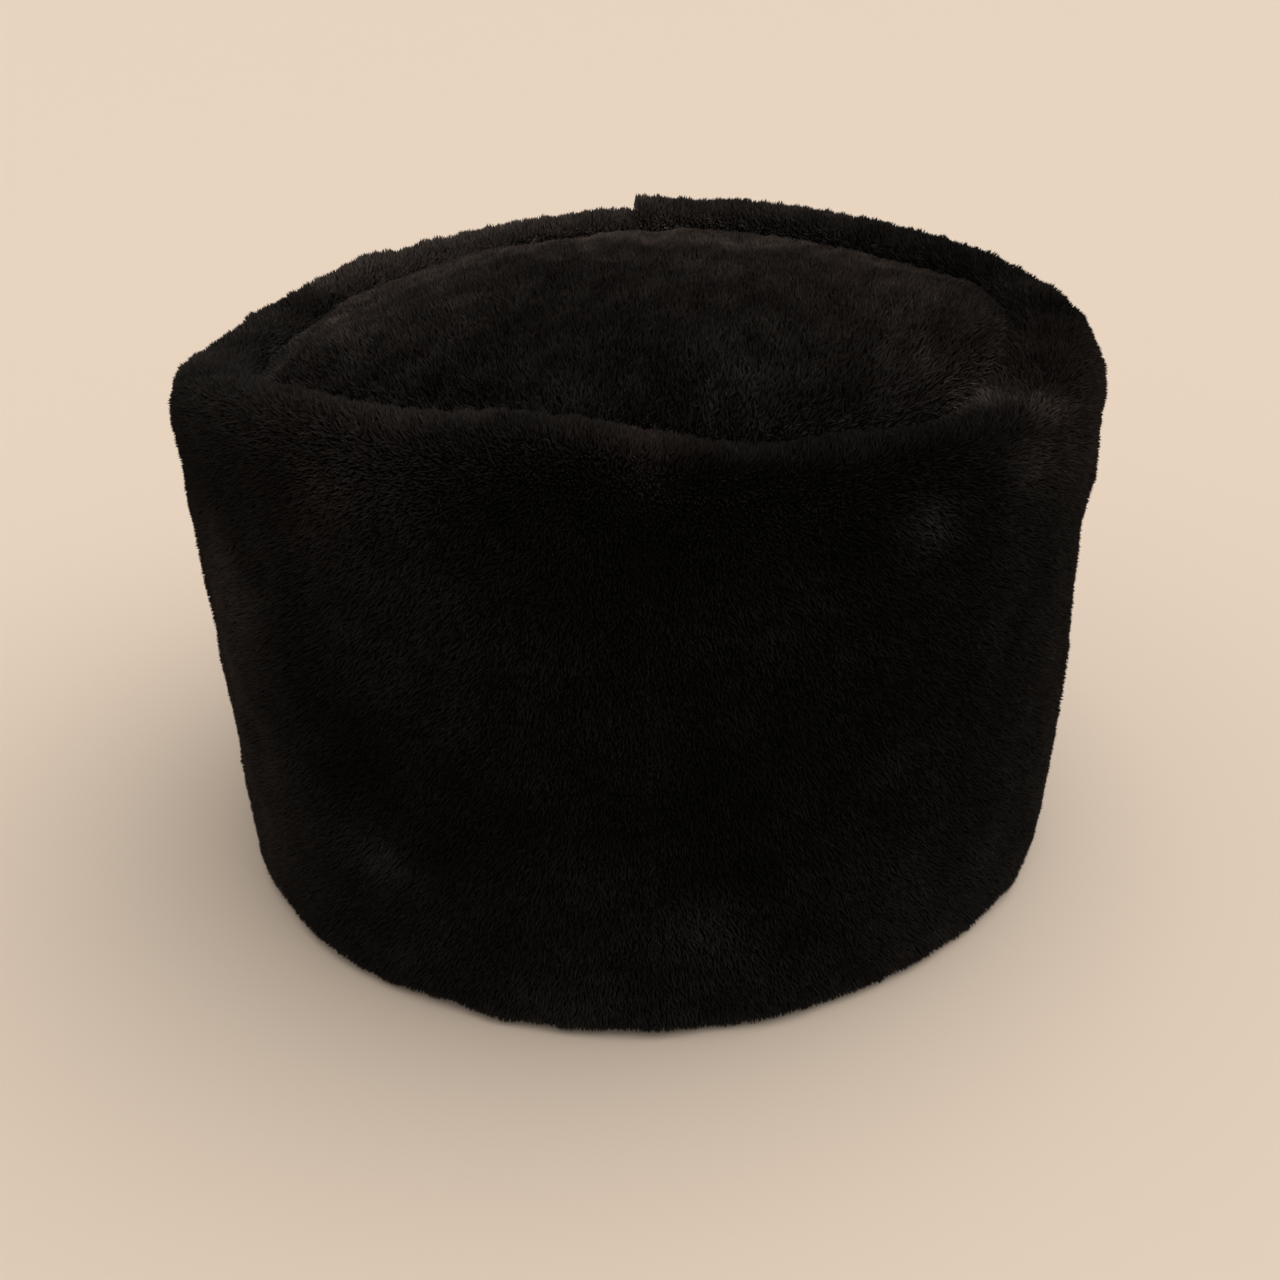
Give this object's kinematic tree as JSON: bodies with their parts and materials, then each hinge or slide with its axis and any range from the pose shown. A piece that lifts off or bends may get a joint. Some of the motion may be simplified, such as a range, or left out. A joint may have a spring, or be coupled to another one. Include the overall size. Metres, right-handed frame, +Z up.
{
  "type": "kalpak",
  "caption": "Tall drum-shaped hat of black sheared sheepskin, with a thick rolled rim round a domed crown and an open hollow for the head.",
  "frame": {"origin": "centre of the drum at the hem, on the surface the hat stands on", "axes": "+Z up out of the crown, -Y towards the front seam, +X to the right seen from the front"},
  "size_m": [0.208, 0.2055, 0.133],
  "materials": {
    "band_pile": "dense sheared wool pile, dyed black, matt with a soft grey sheen on the tips",
    "crown_pile": "the same sheared wool pile, a little browner where the light falls on it",
    "hide_back": "matt suede back of the dyed hide"
  },
  "bodies": {
    "root": {"left_panel": "band_pile", "right_panel": "band_pile", "crown": "crown_pile"}
  },
  "joints": []
}
